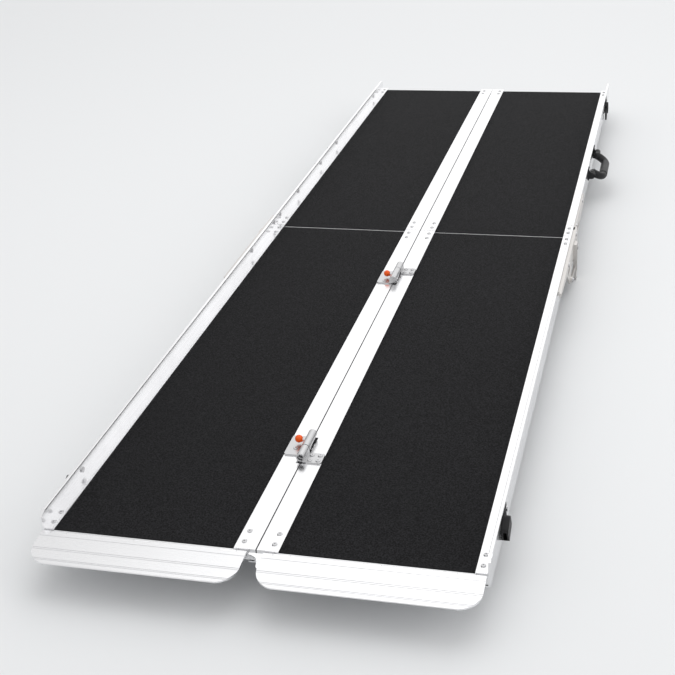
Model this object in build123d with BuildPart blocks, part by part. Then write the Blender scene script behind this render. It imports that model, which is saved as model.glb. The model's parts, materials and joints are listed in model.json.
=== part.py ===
from build123d import *
from math import cos, radians, sin
import os

os.makedirs("parts", exist_ok=True)

# A folding aluminium dog ramp in four deck sections. Two lower and two upper sections lie
# flat as one long ramp. The halves fold together about a centre axis above the deck, the
# upper sections fold under the lower ones, and a hinged lip meets the ground at the front.
# Millimetres. X = 0 is the centre seam, Y = 0 the middle of the overall length, Z = 0 the
# ground under the bracket feet. +Y runs up the ramp, from the lips to the top end.

# ---- driving dimensions: lengths along the ramp ----
lower_length = 1277.0
upper_length = 1163.5
cross_gap = 1.0
front_strip = 2.5
top_strip = 5.0
seam_strip = 3.0

# ---- driving dimensions: widths across one half ----
centre_gap = 2.0
inner_flange_width = 34.0
grip_width = 295.0
outer_flange_width = 18.5
wall = 3.5
web = 3.0

# ---- driving dimensions: heights ----
foot_drop = 48.0
rail_depth = 24.0
curb_height = 26.0
flange = 2.5
deck_flange = 5.5
plate = 2.0
grip_thickness = 1.2

# ---- fits and clearances ----
pin_clearance = 0.05
shank_clearance = 0.05
moving_gap = 0.4
plate_gap = 0.3

# ---- fasteners ----
rivet_shank = 2.4
rivet_head = 4.0
rivet_head_height = 1.5
rivet_dimple = 1.4
screw_shank = 3.0
screw_head = 5.0
screw_head_height = 2.0

# ---- levels and stations worked out from the driving dimensions ----
lip_tilt = 8.0
lip_length = 68.0
lip_plate = 3.0
lip_curl = 5.5
lip_rod = 2.5
lip_tip_radius = lip_plate / 2
curl_gap = 0.5

pivot_ahead = lip_curl + curl_gap
lip_reach = pivot_ahead + lip_length * cos(radians(lip_tilt)) + lip_curl * sin(radians(lip_tilt))
deck_length = lower_length + cross_gap + upper_length
front_y = lip_reach - (lip_reach + deck_length) / 2
seam_y = front_y + lower_length + cross_gap / 2
top_y = front_y + deck_length
spans = {
    "lower": (front_y, seam_y - cross_gap / 2),
    "upper": (seam_y + cross_gap / 2, top_y),
}

rail_bottom = foot_drop
deck_z = rail_bottom + rail_depth
curb_z = deck_z + curb_height
plate_top = deck_z - deck_flange
plate_bottom = plate_top - plate

inner_x = centre_gap / 2
web_x = inner_x + web
grip_low_x = inner_x + inner_flange_width
grip_high_x = grip_low_x + grip_width
wall_x = grip_high_x + outer_flange_width
outer_x = wall_x + wall
half_width = outer_x

# ---- centre fold and its latches ----
fold_z = deck_z + 10.0
barrel_radius = 7.5
latch_pin = 4.0
leaf = 2.5
latch_pitch = 695.0
near_latch_y = front_y + 301.5
latches = {
    "near": (near_latch_y, 1),
    "far": (near_latch_y + latch_pitch, -1),
}
barrel_front = -23.5
barrel_back = 26.0
barrel_leaf_front = -35.0
knuckle_back = -25.0
knuckle_front = -55.0
latch_stroke = 12.0
cut_front = knuckle_front - 2.0
cut_back = barrel_back + 2.0
cut_half_width = 8.5
cut_depth = 12.0
knob_reach = 17.5
knob_radius = 6.8
knob_rise = 2.5
stem_radius = 2.0
collar_radius = 5.6
collar_half = 2.0
spring_bore = 6.0
end_wall = 3.0
pin_tip = barrel_front - latch_stroke

# ---- cross fold ----
pivot_z = rail_bottom - 1.5
pivot_bolt = 4.0
hinge_plate = 4.0
lug = 9.0
inner_leaf = 3.0
leg_station = -75.0
leg_width = 24.0
leg_thickness = 7.0
leg_wall = 3.0
foot_radius = 7.0
bracket_top_z = curb_z - 4.5
bracket_bolt_z = bracket_top_z - 6.0
lower_bracket_bolts = (-199.0, -26.0)
upper_bracket_bolts = (26.0, 186.0)
leg_top_z = bracket_top_z - 5.5
leg_bolts_z = (deck_z + 5.0, deck_z - 14.0)
tie_station = -146.0
tie_z = deck_z - 42.0
tie_thickness = 4.0
ear_reach = 31.0
ear_rivet_stations = (17.0, 26.0)
ear_rivet_z = rail_bottom + 9.0

# ---- carry handle and closing straps ----
handle_station = 491.0
handle_pitch = 170.0
handle_pivot_z = deck_z + 2.0
handle_pivot_out = 10.0
handle_bracket_top_z = curb_z - 5.0
handle_screw_z = handle_bracket_top_z - 7.0
handle_reach = 26.0
handle_droop = {"right": 30.0, "left": 80.0}
grip_radius = 10.5
trunnion = 4.0
strap_width = 18.0
strap_thickness = 2.0
lower_strap_y = front_y + 151.5
upper_strap_y = seam_y + 1032.0
strap_screw_z = curb_z - 14.0
strap_slope = 28.0
strap_reach = {"lower": (-6.0, 18.0), "upper": (-6.0, 24.0)}

# ---- fastener stations ----
end_rivets = (18.0, 45.0)
inner_rivet_x = inner_x + 23.0
outer_rivet_x = wall_x - 9.5
tube_pitch = 205.0
tube_width = 25.0
tube_height = 12.0
tube_wall = 1.5
bar_depth = 66.0
bar_height = 12.0
bar_wall = 2.5

sides = ("right", "left")
sections = ("lower", "upper")


def across(y):
    """A sketch plane that cuts the ramp across at y, with local x = X and local y = Z."""
    return Plane.XZ.offset(-y)


def lengthwise(x):
    """A sketch plane along the ramp at x, with local x = Y and local y = Z."""
    return Plane.YZ.offset(x)


def box_between(x_low, x_high, y_low, y_high, z_low, z_high, mode=Mode.ADD):
    with Locations(((x_low + x_high) / 2, (y_low + y_high) / 2, (z_low + z_high) / 2)):
        Box(x_high - x_low, y_high - y_low, z_high - z_low, mode=mode)


def strip(x_low, x_high, z_low, z_high, mode=Mode.ADD):
    with Locations(((x_low + x_high) / 2, (z_low + z_high) / 2)):
        Rectangle(x_high - x_low, z_high - z_low, mode=mode)


def drill_down(places, radius, depth=10.5):
    """Vertical holes through the flange and what lies under it."""
    with Locations(*[(x, y, deck_z) for x, y in places]):
        Cylinder(radius, 2 * depth, mode=Mode.SUBTRACT)


def drill_across(places, radius, x_low, x_high):
    """Holes along X, for what is screwed to the outside of the curb or pivots on it."""
    with Locations(*[Location(((x_low + x_high) / 2, y, z), (0, 90, 0)) for y, z in places]):
        Cylinder(radius, x_high - x_low, mode=Mode.SUBTRACT)


def rod_across(y, z, radius, x_low, x_high, mode=Mode.ADD):
    with Locations(Location(((x_low + x_high) / 2, y, z), (0, 90, 0))):
        Cylinder(radius, x_high - x_low, mode=mode)


def rod_along(x, z, radius, y_low, y_high, mode=Mode.ADD):
    with Locations(Location((x, (y_low + y_high) / 2, z), (90, 0, 0))):
        Cylinder(radius, y_high - y_low, mode=mode)


def keep(piece, side, name):
    """Mirror a piece drawn on the right to its side, label it and write it."""
    if side == "left":
        with piece:
            mirror(about=Plane.YZ, mode=Mode.REPLACE)
    piece.part.label = name
    export_step(piece.part, f"parts/{name}.step")


def flange_rivets(section):
    """Rivet places on both flanges, at the two ends of a section."""
    low_y, high_y = spans[section]
    rows = [low_y + end_rivets[0], low_y + end_rivets[1], high_y - end_rivets[0], high_y - end_rivets[1]]
    return [(x, y) for y in rows for x in (inner_rivet_x, outer_rivet_x)]


def latch_rivets(side):
    """Rivet places of the two latch leaves that stand on one side's inner flange."""
    across_x = (inner_x + 13.0, inner_x + 27.0) if side == "right" else (inner_x + 19.0,)
    ends = (knuckle_front + 7.0, knuckle_back - 7.0)
    along_y = ends if side == "right" else (barrel_front + 9.0, barrel_back - 9.0)
    return [(x, y0 + way * y) for y0, way in latches.values() for y in along_y for x in across_x]


def curb_screws(section):
    """Screw places through the curb wall, as (y, z)."""
    if section == "lower":
        bracket = [(seam_y + y, bracket_bolt_z) for y in lower_bracket_bolts]
        return bracket + [(lower_strap_y, strap_screw_z)]
    bracket = [(seam_y + y, bracket_bolt_z) for y in upper_bracket_bolts]
    handle = [(seam_y + handle_station + way * handle_pitch / 2, handle_screw_z) for way in (-1, 1)]
    return bracket + handle + [(upper_strap_y, strap_screw_z)]


def ear_rivets(section):
    """Rivet places, as (y, z), of the hinge ear on the inner rail's web."""
    way = -1 if section == "lower" else 1
    return [(seam_y + way * station, ear_rivet_z) for station in ear_rivet_stations]


def screw_seat(y):
    """How far out the foot of the screw at this place clamps: the outside of what it holds."""
    if abs(y - seam_y) < handle_station / 2:
        on_lower = y < seam_y
        return outer_x + (2 * hinge_plate + plate_gap if on_lower else hinge_plate)
    if y in (lower_strap_y, upper_strap_y):
        return outer_x + strap_thickness
    return outer_x + 3.0


# ---------------------------------------------------------------- rails
def side_rail(section, side):
    """Outer rail: channel, deck flange and curb wall with a beaded top."""
    low_y, high_y = spans[section]
    bead = 3.0
    slope_run, slope_drop = 14.0, 7.0
    with BuildPart() as piece:
        with BuildSketch(across(high_y)):
            strip(wall_x, outer_x, rail_bottom, curb_z)
            strip(grip_high_x, wall_x, plate_top, deck_z)
            strip(wall_x - 13.0, wall_x, rail_bottom, rail_bottom + flange)
            strip(wall_x - 1.2, outer_x + 1.0, curb_z - bead, curb_z)
            strip(wall_x - 1.5, wall_x, deck_z, deck_z + 2.0)
        extrude(amount=high_y - low_y)
        bead_edges = piece.edges().filter_by(Axis.Y).filter_by_position(Axis.Z, curb_z - 0.1, curb_z + 0.1)
        fillet(bead_edges, 1.2)
        # The curb top slopes down at the free end of the ramp.
        end_y, way = (low_y, 1) if section == "lower" else (high_y, -1)
        with BuildSketch(lengthwise(wall_x - 5.0)):
            with BuildLine():
                Polyline(
                    (end_y - way, curb_z - slope_drop),
                    (end_y, curb_z - slope_drop),
                    (end_y + way * slope_run, curb_z),
                    (end_y + way * slope_run, curb_z + 1.0),
                    (end_y - way, curb_z + 1.0),
                    close=True,
                )
            make_face()
        extrude(amount=wall + 10.0, mode=Mode.SUBTRACT)
        if side == "left":
            groove_x = grip_high_x + 2.5
            groove = (groove_x, groove_x + 0.8, low_y - 1, high_y + 1, deck_z - 0.6, deck_z + 1)
            box_between(*groove, Mode.SUBTRACT)
        drill_down([place for place in flange_rivets(section) if place[0] == outer_rivet_x], rivet_shank)
        drill_across(curb_screws(section), screw_shank, wall_x - 3.0, outer_x + 2.0)
    keep(piece, side, f"side_rail_{section}_{side}")


def inner_rail(section, side):
    """Rail along the centre seam, cut away where the latch barrels turn."""
    low_y, high_y = spans[section]
    ear_room = ear_reach + 6.0
    with BuildPart() as piece:
        with BuildSketch(across(high_y)):
            strip(inner_x, web_x, rail_bottom, deck_z)
            strip(web_x, grip_low_x, plate_top, deck_z)
            strip(web_x, web_x + 10.0, rail_bottom, rail_bottom + flange)
        extrude(amount=high_y - low_y)
        if side == "right":
            groove_x = grip_low_x - 6.0
            groove = (groove_x, groove_x + 0.8, low_y - 1, high_y + 1, deck_z - 0.6, deck_z + 1)
            box_between(*groove, Mode.SUBTRACT)
        seam_low = seam_y - ear_room if section == "lower" else seam_y - 1.0
        seam_high = seam_low + ear_room + 1.0
        relief = (web_x, web_x + 12.0, seam_low, seam_high, rail_bottom - 1, rail_bottom + 4)
        box_between(*relief, Mode.SUBTRACT)
        drill_down([place for place in flange_rivets(section) if place[0] == inner_rivet_x], rivet_shank)
        drill_across(ear_rivets(section), rivet_shank, 0.0, web_x + 5.0)
        if section == "lower":
            for latch_y, way in latches.values():
                ends = sorted((latch_y + way * cut_front, latch_y + way * cut_back))
                box_between(0.0, cut_half_width, *ends, deck_z - cut_depth, deck_z + 1, Mode.SUBTRACT)
            drill_down(latch_rivets(side), rivet_shank)
    keep(piece, side, f"inner_rail_{section}_{side}")


# ---------------------------------------------------------------- deck
def deck_plate(section, side):
    """Sheet under the grip, tucked under both rails' flanges."""
    low_y, high_y = spans[section]
    start_y = low_y + bar_wall if section == "lower" else low_y
    with BuildPart() as piece:
        box_between(web_x, wall_x, start_y, high_y, plate_bottom, plate_top)
        if section == "lower":
            for latch_y, way in latches.values():
                ends = sorted((latch_y + way * cut_front, latch_y + way * cut_back))
                box_between(0.0, cut_half_width, *ends, plate_bottom - 1, plate_top + 1, Mode.SUBTRACT)
            drill_down(latch_rivets(side), rivet_shank)
        drill_down(flange_rivets(section), rivet_shank)
    keep(piece, side, f"deck_plate_{section}_{side}")


def grip_sheet(section, side):
    """Black non-slip sheet between the two flanges."""
    low_y, high_y = spans[section]
    start_y = low_y + (front_strip if section == "lower" else seam_strip)
    end_y = high_y - (seam_strip if section == "lower" else top_strip)
    with BuildPart() as piece:
        box_between(grip_low_x, grip_high_x, start_y, end_y, plate_top, plate_top + grip_thickness)
    keep(piece, side, f"grip_sheet_{section}_{side}")


def tube_stations(section):
    """Middle of each cross tube, evenly spread between the ends of a section."""
    low_y, high_y = spans[section]
    first = low_y + (bar_depth + tube_pitch / 2 if section == "lower" else 45.0)
    last = high_y - (45.0 if section == "lower" else tube_width / 2)
    count = round((last - first) / tube_pitch)
    return [first + (last - first) * index / count for index in range(count + 1)]


def cross_tubes(section, side):
    """Rectangular tubes that carry the deck plate from web to curb wall."""
    top = plate_bottom
    with BuildPart() as piece:
        for y in tube_stations(section):
            outline = (web_x, wall_x, y - tube_width / 2, y + tube_width / 2, top - tube_height, top)
            bore = (
                web_x - 1,
                wall_x + 1,
                y - tube_width / 2 + tube_wall,
                y + tube_width / 2 - tube_wall,
                top - tube_height + tube_wall,
                top - tube_wall,
            )
            box_between(*outline)
            box_between(*bore, mode=Mode.SUBTRACT)
        drill_down(flange_rivets(section), rivet_shank)
        if section == "lower":
            drill_down(latch_rivets(side), rivet_shank)
    keep(piece, side, f"cross_tubes_{section}_{side}")


def front_end_bar(side):
    """Hollow bar under the front edge, with the strip ahead of the grip and the lip's knuckles."""
    top = plate_bottom
    with BuildPart() as piece:
        box_between(web_x, wall_x, front_y, front_y + bar_depth, top - bar_height, top)
        box_between(
            web_x - 1,
            wall_x + 1,
            front_y + bar_wall,
            front_y + bar_depth - bar_wall,
            top - bar_height + bar_wall,
            top - bar_wall,
            mode=Mode.SUBTRACT,
        )
        box_between(web_x, wall_x, front_y, front_y + bar_wall, top, plate_top)
        strip_top = plate_top + grip_thickness
        box_between(grip_low_x, grip_high_x, front_y, front_y + front_strip, plate_top, strip_top)
        for x_low, x_high in knuckle_spans():
            rod_across(lip_pivot[1], lip_pivot[2], lip_curl, x_low, x_high)
            box_between(x_low, x_high, lip_pivot[1], front_y + 1.0, lip_pivot[2] - 5.5, lip_pivot[2] - 1.0)
        bore = lip_rod + shank_clearance
        rod_across(lip_pivot[1], lip_pivot[2], bore, 0.0, half_width + 10, Mode.SUBTRACT)
        drill_down(flange_rivets("lower"), rivet_shank)
    keep(piece, side, f"front_end_bar_{side}")


# ---------------------------------------------------------------- lips
lip_pivot = (0.0, front_y - pivot_ahead, deck_z - 0.5 - lip_curl)
knuckle_length = 26.0
lip_inner_x = inner_x + 12.0
lip_outer_x = wall_x - 1.0


def knuckle_spans():
    """The end bar's hinge knuckles along X: one near each end and one in the middle."""
    middle = (lip_inner_x + lip_outer_x) / 2
    starts = (lip_inner_x + 16.0, middle - knuckle_length / 2, lip_outer_x - 16.0 - knuckle_length)
    return [(start, start + knuckle_length) for start in starts]


def lip_section_plane(x):
    """Sketch plane across the lip at x: local x runs out along the lip, local y stands off it."""
    slope = radians(lip_tilt)
    out = (0, -cos(slope), -sin(slope))
    return Plane(origin=(x, lip_pivot[1], lip_pivot[2]), x_dir=out, z_dir=(-1, 0, 0))


def lip_plan_plane():
    """Sketch plane in the lip's own plane: local x = X, local y runs back towards the deck."""
    slope = radians(lip_tilt)
    return Plane(origin=lip_pivot, x_dir=(1, 0, 0), z_dir=(0, -sin(slope), cos(slope)))


def lip(side):
    """Ribbed lip plate that turns on a rod at the deck's front edge, with rounded corners."""
    corner = 36.0
    low = lip_curl - lip_plate
    gusset_x = 11.0 if side == "right" else 0.0
    rib = 0.7
    with BuildPart() as piece:
        with BuildSketch(lip_section_plane(lip_outer_x)):
            strip(0.0, lip_length, low, lip_curl)
            for start, end in ((0.35, 0.52), (0.70, 0.85)):
                strip(start * lip_length, end * lip_length, lip_curl, lip_curl + rib)
                strip(start * lip_length, end * lip_length, low - rib, low)
            for place in (0.13, 0.56, 0.88):
                start = place * lip_length
                strip(start, start + 1.2, lip_curl - 0.6, lip_curl + 1, Mode.SUBTRACT)
        extrude(amount=lip_outer_x - lip_inner_x)
        tip_edges = piece.edges().filter_by(Axis.X).sort_by(Axis.Y)[:2]
        fillet(tip_edges, lip_tip_radius - 0.2)
        if gusset_x:
            # The right lip's flat inner edge covers the gap between the two lips near the deck.
            with BuildSketch(lip_plan_plane().offset(low)):
                with BuildLine():
                    Polyline(
                        (lip_inner_x, 0.0),
                        (lip_inner_x - 2 * gusset_x, 0.0),
                        (lip_inner_x - 2 * gusset_x, -4.0),
                        (lip_inner_x - 1.4 * gusset_x, -6.0),
                        (lip_inner_x - 0.8 * gusset_x, -10.0),
                        (lip_inner_x - 0.5 * gusset_x, -17.0),
                        (lip_inner_x - 0.2 * gusset_x, -36.0),
                        (lip_inner_x, -44.0),
                        close=True,
                    )
                make_face()
            extrude(amount=lip_plate - 0.5)
        with BuildSketch(lip_plan_plane().offset(-10.0)):
            with BuildLine():
                left_x, right_x = lip_inner_x - 2 * gusset_x - 1, lip_outer_x
                Line((left_x, 1.0), (left_x, -7.0))
                Line((left_x, -7.0), (lip_inner_x, -lip_length + corner))
                inner_end = (lip_inner_x + corner, -lip_length)
                RadiusArc((lip_inner_x, -lip_length + corner), inner_end, -corner)
                Line((lip_inner_x + corner, -lip_length), (right_x - corner, -lip_length))
                RadiusArc((right_x - corner, -lip_length), (right_x, -lip_length + corner), -corner)
                Line((right_x, -lip_length + corner), (right_x, 1.0))
                Line((right_x, 1.0), (left_x, 1.0))
            make_face()
        extrude(amount=30.0, mode=Mode.INTERSECT)
        rod_across(lip_pivot[1], lip_pivot[2], lip_curl, lip_inner_x, lip_outer_x)
        for x_low, x_high in knuckle_spans():
            rod_across(
                lip_pivot[1],
                lip_pivot[2],
                lip_curl + moving_gap,
                x_low - moving_gap,
                x_high + moving_gap,
                Mode.SUBTRACT,
            )
        bore = lip_rod + pin_clearance
        rod_across(lip_pivot[1], lip_pivot[2], bore, 0.0, half_width + 10, Mode.SUBTRACT)
    keep(piece, side, f"lip_{side}")


def lip_hinge_rod(side):
    """Steel rod through the end bar's knuckles and the lip's curl."""
    with BuildPart() as piece:
        rod_across(lip_pivot[1], lip_pivot[2], lip_rod, lip_inner_x + 2.0, lip_outer_x - 1.0)
    keep(piece, side, f"lip_hinge_rod_{side}")


# ---------------------------------------------------------------- cross fold hinges
def bracket_bolt_places(section):
    return [place for place in curb_screws(section) if place[1] == bracket_bolt_z]


def inner_ear(section):
    """Hinge ear on the inner rail's web, one layer in for the lower section, two for the upper."""
    way = -1 if section == "lower" else 1
    x_low = web_x if section == "lower" else web_x + inner_leaf + plate_gap
    far = seam_y + way * ear_reach
    low_y, high_y = sorted((far, seam_y))
    x_high = x_low + inner_leaf
    box_between(x_low, x_high, low_y, high_y, rail_bottom + 1.0, plate_bottom - 0.5)
    box_between(x_low, x_high, seam_y - lug, seam_y + lug, pivot_z, pivot_z + 14.5)
    rod_across(seam_y, pivot_z, lug, x_low, x_high)
    if section == "upper":
        box_between(web_x, x_low, seam_y + lug + 6.0, far, rail_bottom + 2.0, plate_bottom - 0.5)
    drill_across(ear_rivets(section), rivet_shank, 0.0, x_low + 6.0)
    hole = pivot_bolt + (shank_clearance if section == "lower" else pin_clearance)
    drill_across([(seam_y, pivot_z)], hole, web_x - 1.0, x_low + 6.0)


def hinge_plates_upper(side):
    """Upper section's hinge plate on the outer rail, and its ear on the inner rail."""
    with BuildPart() as piece:
        with BuildSketch(lengthwise(outer_x)):
            with BuildLine():
                Polyline(
                    (seam_y + 1.0, rail_bottom + 3.0),
                    (seam_y + 96.0, rail_bottom + 3.0),
                    (seam_y + 122.0, rail_bottom + 10.0),
                    (seam_y + 232.0, rail_bottom + 14.0),
                    (seam_y + 232.0, deck_z + 12.0),
                    (seam_y + 218.0, bracket_top_z),
                    (seam_y + 1.0, bracket_top_z),
                    close=True,
                )
            make_face()
            strip(seam_y - lug, seam_y + lug, pivot_z, pivot_z + 16.0)
            with Locations((seam_y, pivot_z)):
                Circle(lug)
            with Locations((seam_y + 70.0, deck_z - 6.0)):
                SlotOverall(52.0, 11.0, mode=Mode.SUBTRACT)
        extrude(amount=hinge_plate)
        drill_across(bracket_bolt_places("upper"), screw_shank, outer_x - 1, outer_x + 6)
        drill_across([(seam_y, pivot_z)], pivot_bolt + pin_clearance, outer_x - 1, outer_x + 6)
        inner_ear("upper")
    keep(piece, side, f"hinge_plates_upper_{side}")


def hinge_plates_lower(side):
    """Lower section's long outer hinge plate with its sloping front, and the inner ear."""
    plate_x = outer_x + hinge_plate + plate_gap
    with BuildPart() as piece:
        with BuildSketch(lengthwise(plate_x)):
            with BuildLine():
                Polyline(
                    (seam_y - 360.0, bracket_top_z),
                    (seam_y - 360.0, deck_z + 12.0),
                    (seam_y - 228.0, deck_z + 2.0),
                    (seam_y - 152.0, deck_z - 50.0),
                    (seam_y - 140.0, deck_z - 50.0),
                    (seam_y - 122.0, rail_bottom + 3.0),
                    (seam_y + 6.0, rail_bottom + 3.0),
                    (seam_y + 6.0, bracket_top_z),
                    close=True,
                )
            make_face()
            strip(seam_y - lug, seam_y + lug, pivot_z, pivot_z + 16.0)
            with Locations((seam_y, pivot_z)):
                Circle(lug)
            with Locations((seam_y - 40.0, deck_z - 4.0)):
                SlotOverall(58.0, 11.0, mode=Mode.SUBTRACT)
            with Locations((seam_y - 188.0, deck_z - 3.0)):
                SlotOverall(40.0, 9.0, mode=Mode.SUBTRACT)
        extrude(amount=hinge_plate)
        # A packing strip stands the plate off the rail, clear of the upper section's plate.
        box_between(outer_x, plate_x, seam_y - 228.0, seam_y - 14.0, deck_z + 5.0, bracket_top_z)
        box_between(outer_x, plate_x, seam_y - 352.0, seam_y - 228.0, deck_z + 13.0, bracket_top_z)
        drill_across(bracket_bolt_places("lower"), screw_shank, outer_x - 1, plate_x + 6)
        drill_across([(seam_y, pivot_z)], pivot_bolt + shank_clearance, plate_x - 1, plate_x + 6)
        drill_across(leg_bolt_places(), screw_shank, outer_x + 1, plate_x + 6)
        inner_ear("lower")
    keep(piece, side, f"hinge_plates_lower_{side}")


def leg_bolt_places():
    return [(seam_y + leg_station, z) for z in leg_bolts_z] + [(seam_y + tie_station, tie_z)]


def support_leg(side):
    """Leg on the outside of the lower hinge plate, tied forward to its tip, with a round foot."""
    leg_x = outer_x + 2 * hinge_plate + plate_gap
    leg_y = seam_y + leg_station
    tie_y = seam_y + tie_station
    with BuildPart() as piece:
        with BuildSketch(lengthwise(leg_x)):
            strip(leg_y - leg_width / 2, leg_y + leg_width / 2, foot_radius, leg_top_z)
        extrude(amount=leg_thickness)
        fillet(piece.edges().filter_by(Axis.X), 3.0)
        box_between(
            leg_x + leg_wall,
            leg_x + leg_thickness + 1,
            leg_y - leg_width / 2 + leg_wall,
            leg_y + leg_width / 2 - leg_wall,
            foot_radius + 12.0,
            leg_top_z - leg_wall,
            mode=Mode.SUBTRACT,
        )
        rod_across(leg_y, foot_radius, foot_radius, leg_x, leg_x + leg_thickness)
        box_between(leg_x, leg_x + tie_thickness, tie_y, leg_y, tie_z - 5.0, tie_z + 5.0)
        rod_across(tie_y, tie_z, 7.0, leg_x, leg_x + tie_thickness)
        drill_across(leg_bolt_places(), screw_shank, leg_x - 1, leg_x + 6)
    keep(piece, side, f"support_leg_{side}")


def pivot_bolts(side):
    """The two bolts a cross fold turns on, and the bolts that hold the leg."""
    plate_x = outer_x + hinge_plate + plate_gap
    leg_x = plate_x + hinge_plate
    with BuildPart() as piece:
        rod_across(seam_y, pivot_z, pivot_bolt, outer_x + 0.3, leg_x)
        rod_across(seam_y, pivot_z, pivot_bolt + 3.0, leg_x, leg_x + 4.0)
        ear_out = web_x + 2 * inner_leaf + plate_gap
        rod_across(seam_y, pivot_z, pivot_bolt, web_x + 0.3, ear_out + 0.3)
        rod_across(seam_y, pivot_z, pivot_bolt + 3.0, ear_out + 0.3, ear_out + 4.0)
        for y, z in leg_bolt_places():
            floor_x = leg_x + (tie_thickness if z == tie_z else leg_wall)
            rod_across(y, z, screw_shank - shank_clearance, plate_x, floor_x)
            rod_across(y, z, screw_head, floor_x, floor_x + screw_head_height)
    keep(piece, side, f"hinge_bolts_{side}")


# ---------------------------------------------------------------- rivets and screws
def rivets(section, side):
    """Every rivet and screw of one section: flange rivets, curb screws and ear rivets."""
    places = [(x, y, deck_z) for x, y in flange_rivets(section)]
    if section == "lower":
        places += [(x, y, deck_z + leaf) for x, y in latch_rivets(side)]
    shank = rivet_shank - shank_clearance
    ear_out = web_x + inner_leaf if section == "lower" else web_x + 2 * inner_leaf + plate_gap
    with BuildPart() as piece:
        for x, y, seat in places:
            with Locations((x, y, (seat + plate_bottom - 2.0) / 2)):
                Cylinder(shank, seat - plate_bottom + 2.0)
            with Locations((x, y, seat)):
                Cylinder(rivet_head, rivet_head_height, align=(Align.CENTER, Align.CENTER, Align.MIN))
        circles = piece.edges().filter_by(GeomType.CIRCLE)
        heads = circles.filter_by(lambda edge: abs(edge.radius - rivet_head) < 0.01)
        crowns = [deck_z + rivet_head_height, deck_z + leaf + rivet_head_height]
        fillet([edge for edge in heads if min(abs(edge.center().Z - z) for z in crowns) < 0.1], 0.9)
        for x, y, seat in places:
            with Locations((x, y, seat + rivet_head_height)):
                Cylinder(rivet_dimple, 1.6, mode=Mode.SUBTRACT)
        for y, z in curb_screws(section):
            seat_x = screw_seat(y)
            rod_across(y, z, screw_shank - shank_clearance, wall_x - 0.5, seat_x + 0.5)
            rod_across(y, z, screw_head, wall_x - screw_head_height, wall_x)
            rod_across(y, z, screw_head, seat_x, seat_x + screw_head_height)
        for y, z in ear_rivets(section):
            rod_across(y, z, shank, inner_x + 0.2, ear_out)
            rod_across(y, z, rivet_head, ear_out, ear_out + rivet_head_height)
    keep(piece, side, f"rivets_{section}_{side}")


# ---------------------------------------------------------------- centre latches
def latch_leaf_knuckle(name):
    """Right leaf: a plate riveted to the right flange, with the knuckle the pin enters."""
    latch_y, way = latches[name]
    low_y, high_y = sorted((latch_y + way * knuckle_front, latch_y + way * knuckle_back))
    with BuildPart() as piece:
        box_between(3.0, grip_low_x, low_y, high_y, deck_z, deck_z + leaf)
        fillet(piece.edges().filter_by(Axis.Z).sort_by(Axis.X)[-2:], 4.0)
        box_between(0.0, barrel_radius, low_y, high_y, deck_z + leaf - 0.5, fold_z - 3.0)
        rod_along(0.0, fold_z, barrel_radius, low_y, high_y)
        rod_along(0.0, fold_z, latch_pin + pin_clearance, low_y - 1, high_y + 1, Mode.SUBTRACT)
        mouth_y = latch_y + way * knuckle_front
        rod_along(0.0, fold_z, latch_pin + 1.2, *sorted((mouth_y, mouth_y + way * 6.0)), Mode.SUBTRACT)
        drill_down(
            [place for place in latch_rivets("right") if low_y < place[1] < high_y],
            rivet_shank,
        )
    keep(piece, "right", f"latch_knuckle_{name}")


def latch_leaf_barrel(name):
    """Left leaf: a plate riveted to the left flange, with the barrel that holds pin and spring."""
    latch_y, way = latches[name]
    low_y, high_y = sorted((latch_y + way * barrel_front, latch_y + way * barrel_back))
    bush_back = latch_y + way * (-collar_half - 0.4)
    with BuildPart() as piece:
        leaf_ends = sorted((latch_y + way * barrel_leaf_front, latch_y + way * barrel_back))
        box_between(3.0, grip_low_x, *leaf_ends, deck_z, deck_z + leaf)
        fillet(piece.edges().filter_by(Axis.Z).sort_by(Axis.X)[-2:], 4.0)
        box_between(0.0, barrel_radius, low_y, high_y, deck_z + leaf - 0.5, fold_z - 3.0)
        rod_along(0.0, fold_z, barrel_radius, low_y, high_y)
        bush = sorted((bush_back, latch_y + way * (barrel_front - 1)))
        rod_along(0.0, fold_z, latch_pin + pin_clearance, *bush, Mode.SUBTRACT)
        spring_end = latch_y + way * (barrel_back - end_wall)
        rod_along(0.0, fold_z, spring_bore, *sorted((bush_back, spring_end)), Mode.SUBTRACT)
        slot_low, slot_high = sorted((latch_y - way * 2.8, latch_y + way * (latch_stroke + 2.8)))
        box_between(2.0, barrel_radius + 1, slot_low, slot_high, fold_z - 2.6, fold_z + 2.6, Mode.SUBTRACT)
        drill_down(
            [place for place in latch_rivets("left") if low_y < place[1] < high_y],
            rivet_shank,
        )
    keep(piece, "left", f"latch_barrel_{name}")


def latch_pin_piece(name):
    """Sprung pin with its collar, and the bent stem that the knob is screwed to."""
    latch_y, way = latches[name]
    knob_z = fold_z + knob_rise
    with BuildPart() as piece:
        tip_y = latch_y + way * pin_tip
        collar_ends = sorted((latch_y - way * collar_half, latch_y + way * collar_half))
        rod_along(0.0, fold_z, latch_pin, *sorted((tip_y, latch_y)))
        rod_along(0.0, fold_z, collar_radius, *collar_ends)
        with BuildLine() as route:
            elbow = (barrel_radius + 1.0, latch_y, fold_z)
            FilletPolyline((1.0, latch_y, fold_z), elbow, (knob_reach - 5.0, latch_y, knob_z), radius=2.5)
        with BuildSketch(Plane(origin=route.line @ 0, z_dir=route.line % 0)):
            Circle(stem_radius)
        sweep()
        knob_center = (knob_reach, latch_y, knob_z)
        with Locations(knob_center):
            Sphere(knob_radius + 0.02, mode=Mode.SUBTRACT)
    keep(piece, "left", f"latch_pin_{name}")


def latch_knob(name):
    """Round pull knob on the end of the stem."""
    latch_y, _ = latches[name]
    with BuildPart() as piece:
        with Locations((knob_reach, latch_y, fold_z + knob_rise)):
            Sphere(knob_radius)
    keep(piece, "left", f"latch_knob_{name}")


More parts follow.
